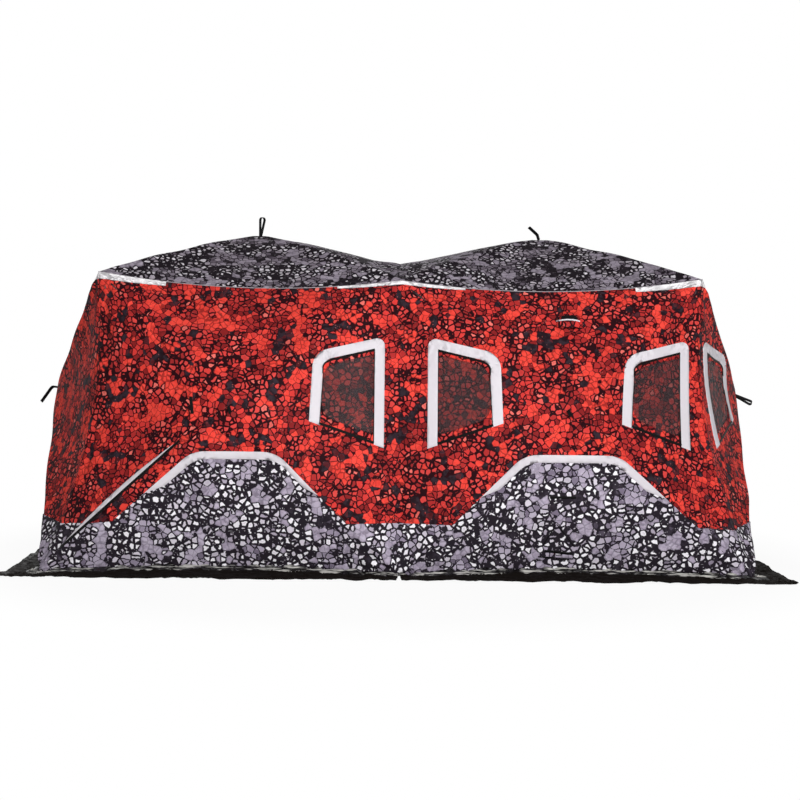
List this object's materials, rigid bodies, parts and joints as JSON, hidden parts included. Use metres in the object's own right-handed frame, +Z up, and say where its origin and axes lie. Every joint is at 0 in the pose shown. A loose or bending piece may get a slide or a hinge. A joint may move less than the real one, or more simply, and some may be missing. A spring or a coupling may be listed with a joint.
{
  "type": "ice fishing hut",
  "caption": "Two-module pop-up ice fishing hut: quilted cloth walls and roofs pushed out by sprung hub frames, with film windows, zipped doors and a ground skirt.",
  "frame": {"origin": "on the ground at the middle of the hut's plan", "axes": "+X along the long front to the right as seen from the front, -Y towards the front, +Z up"},
  "size_m": [4.6507, 2.51, 2.1752],
  "materials": {
    "red_cloth": "printed quilted polyester, red and black",
    "grey_cloth": "printed coated polyester, pale grey and black",
    "roof_cloth": "printed quilted polyester, grey and black",
    "black_sheet": "coated black sheet, slightly glossy",
    "window_film": "tinted clear film",
    "pale_tape": "pale grey reflective tape",
    "zip": "black coil zip",
    "hood_cloth": "stiffened printed cloth",
    "mesh": "black insect mesh",
    "hub_plastic": "black moulded nylon",
    "pole": "black glass fibre rod",
    "webbing": "black nylon webbing"
  },
  "bodies": {
    "root": {"front_left_wall": "red_cloth", "front_left_apron": "grey_cloth", "front_left_skirt": "black_sheet", "front_left_window": "window_film", "front_right_wall": "red_cloth", "front_right_apron": "grey_cloth", "front_right_skirt": "black_sheet", "front_right_window": "window_film", "back_left_wall": "red_cloth", "back_left_apron": "grey_cloth", "back_left_skirt": "black_sheet", "back_left_window": "window_film", "back_right_wall": "red_cloth", "back_right_apron": "grey_cloth", "back_right_skirt": "black_sheet", "back_right_window": "window_film", "left_end_wall": "red_cloth", "left_end_apron": "grey_cloth", "left_end_skirt": "black_sheet", "left_end_window": "window_film", "right_end_wall": "red_cloth", "right_end_apron": "grey_cloth", "right_end_skirt": "black_sheet", "right_end_window": "window_film", "left_roof": "roof_cloth", "right_roof": "roof_cloth", "front_door": "red_cloth", "back_door": "red_cloth", "window_covers": "red_cloth", "window_tapes": "pale_tape", "apron_tapes": "pale_tape", "eave_tapes": "pale_tape", "door_zips": "zip", "door_bindings": "pale_tape", "vent_hoods": "hood_cloth", "vent_meshes": "mesh", "wall_hubs": "hub_plastic", "roof_hubs": "hub_plastic", "front_poles": "pole", "back_poles": "pole", "end_poles": "pole", "roof_poles": "pole", "corner_sockets": "hub_plastic", "left_roof_loop": "webbing", "right_end_loop": "webbing", "pull_straps": "webbing"}
  },
  "joints": []
}
